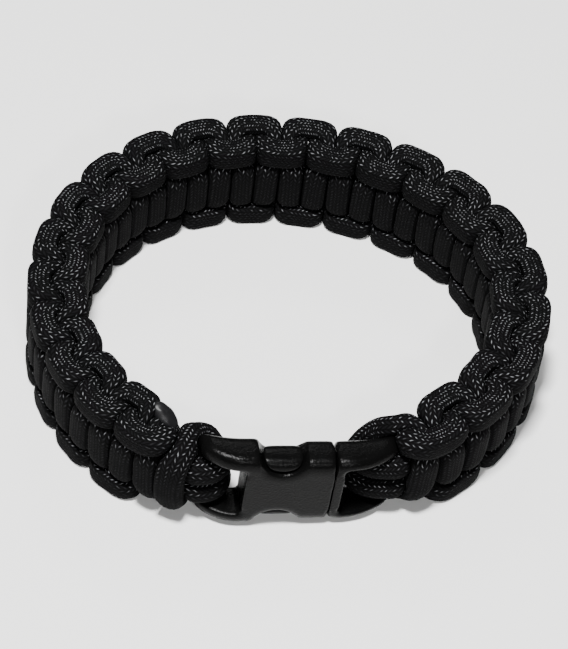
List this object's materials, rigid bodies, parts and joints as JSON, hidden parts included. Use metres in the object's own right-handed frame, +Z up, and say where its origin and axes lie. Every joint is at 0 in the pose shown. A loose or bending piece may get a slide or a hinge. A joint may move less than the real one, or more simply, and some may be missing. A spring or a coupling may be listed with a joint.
{
  "type": "paracord bracelet",
  "caption": "Woven cord bracelet: a flat knotted band round a doubled core cord, closed by a side release buckle, standing on its edge.",
  "frame": {"origin": "centre of the bracelet's plan, at the level of its lower edge, which rests on the floor", "axes": "+Z up along the wrist's way through the loop, +X along the buckle towards its plug, -Y out through the buckle at the front"},
  "size_m": [0.0917, 0.0801, 0.019],
  "materials": {
    "black_cord": "braided nylon sheath",
    "black_plastic": "satin moulded"
  },
  "bodies": {
    "root": {"outer_strand": "black_cord", "inner_strand": "black_cord", "core_cord": "black_cord", "buckle_socket": "black_plastic", "buckle_plug": "black_plastic"}
  },
  "joints": []
}
